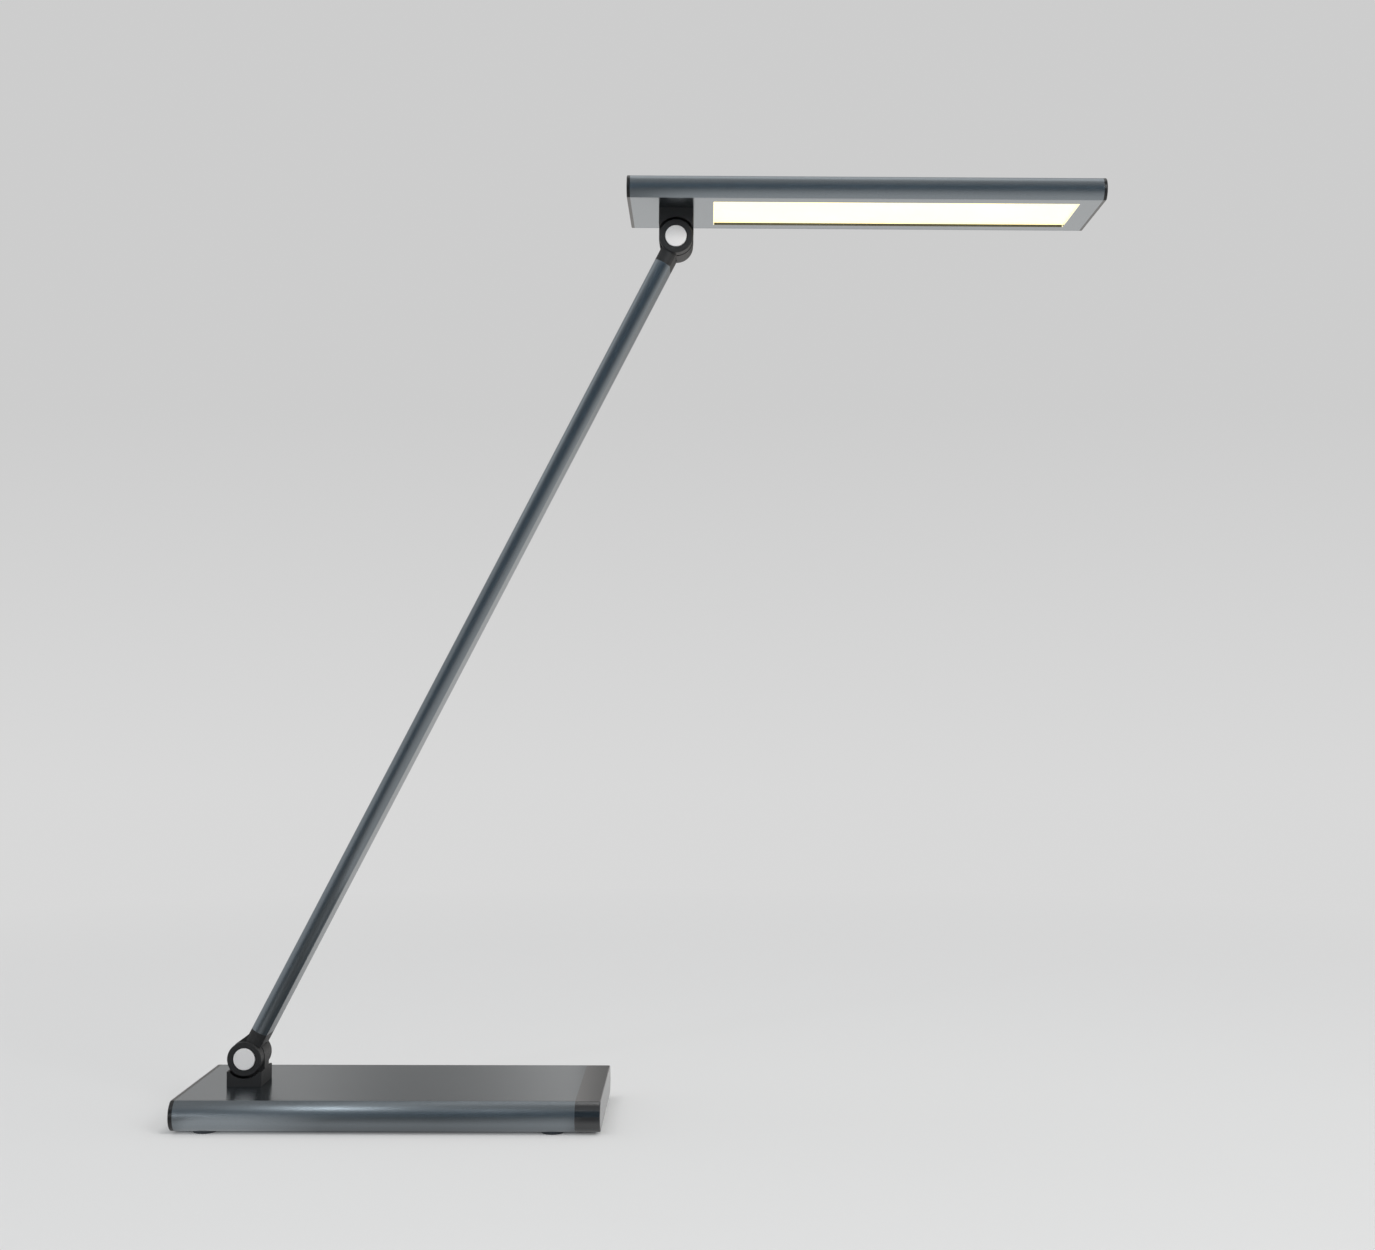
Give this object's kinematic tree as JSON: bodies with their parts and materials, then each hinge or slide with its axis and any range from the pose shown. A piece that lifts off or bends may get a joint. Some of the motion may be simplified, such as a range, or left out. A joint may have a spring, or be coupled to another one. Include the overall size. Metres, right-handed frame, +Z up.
{
  "type": "swing arm desk lamp",
  "caption": "Slim desk lamp with a flat weighted base, a leaning arm on friction hinges and an edge-lit light head, all of bowed aluminium extrusion with black joints.",
  "frame": {"origin": "on the desk, below the middle of the whole lamp's outline", "axes": "+X from the hinge end of the base towards the head's free end, +Y from the front of the lamp to its back, +Z up"},
  "size_m": [0.4403, 0.0962, 0.4526],
  "materials": {
    "anodised": "satin anodised gunmetal",
    "black_cap": "fine matte",
    "touch_cap": "satin",
    "black_cast": "matte powder coat",
    "bright_disc": "satin, fine turned",
    "panel": "opal, lit",
    "foot_rubber": "matte",
    "steel": "plain",
    "slip_washer": "smooth",
    "bare_aluminium": "mill",
    "clear_guide": "polished clear",
    "white_sheet": "matte white",
    "circuit_board": "solder mask",
    "circuit_parts": "moulded",
    "led": "phosphor",
    "brass_contact": "plated",
    "foam": "soft foam",
    "lead_sheath": "soft sheath"
  },
  "bodies": {
    "base": {"base_extrusion": "anodised", "base_left_cap": "black_cap", "base_right_cap": "touch_cap", "ballast_plate": "steel", "ballast_screws": "steel", "driver_board": "circuit_board", "driver_components": "circuit_parts", "board_spacers": "circuit_parts", "dc_inlet": "circuit_parts", "dc_pin": "brass_contact", "touch_board": "circuit_board", "touch_electrode": "brass_contact", "base_feet": "foot_rubber", "base_bracket": "black_cast", "base_bracket_screws": "steel", "inlet_lead": "lead_sheath", "base_lead": "lead_sheath", "touch_lead": "lead_sheath"},
    "arm": {"arm_tube": "anodised", "lower_fork": "black_cast", "upper_fork": "black_cast", "fork_screws": "steel", "arm_lead": "lead_sheath", "lower_bolt": "steel", "lower_nut": "steel", "lower_spring_washer": "steel", "lower_friction_washers": "slip_washer", "lower_pin_caps": "bright_disc", "upper_bolt": "steel", "upper_nut": "steel", "upper_spring_washer": "steel", "upper_friction_washers": "slip_washer", "upper_pin_caps": "bright_disc"},
    "head": {"head_extrusion": "anodised", "head_left_cap": "black_cap", "head_right_cap": "black_cap", "head_bracket": "black_cast", "head_bracket_screws": "steel", "diffuser": "panel", "light_guide": "clear_guide", "reflector_sheet": "white_sheet", "back_plate": "bare_aluminium", "led_board": "circuit_board", "led_chips": "led", "pressure_pads": "foam", "head_lead": "lead_sheath"}
  },
  "joints": [
    {"name": "arm_tilt", "type": "hinge", "parent": "base", "child": "arm", "pos_m": [-0.1936, 0, 0.0287], "axis": [0, 1, 0], "range_deg": [-40, 45]},
    {"name": "head_tilt", "type": "hinge", "parent": "arm", "child": "head", "pos_m": [0.01418, 0, 0.42785], "axis": [0, 1, 0], "range_deg": [-45, 100]}
  ]
}
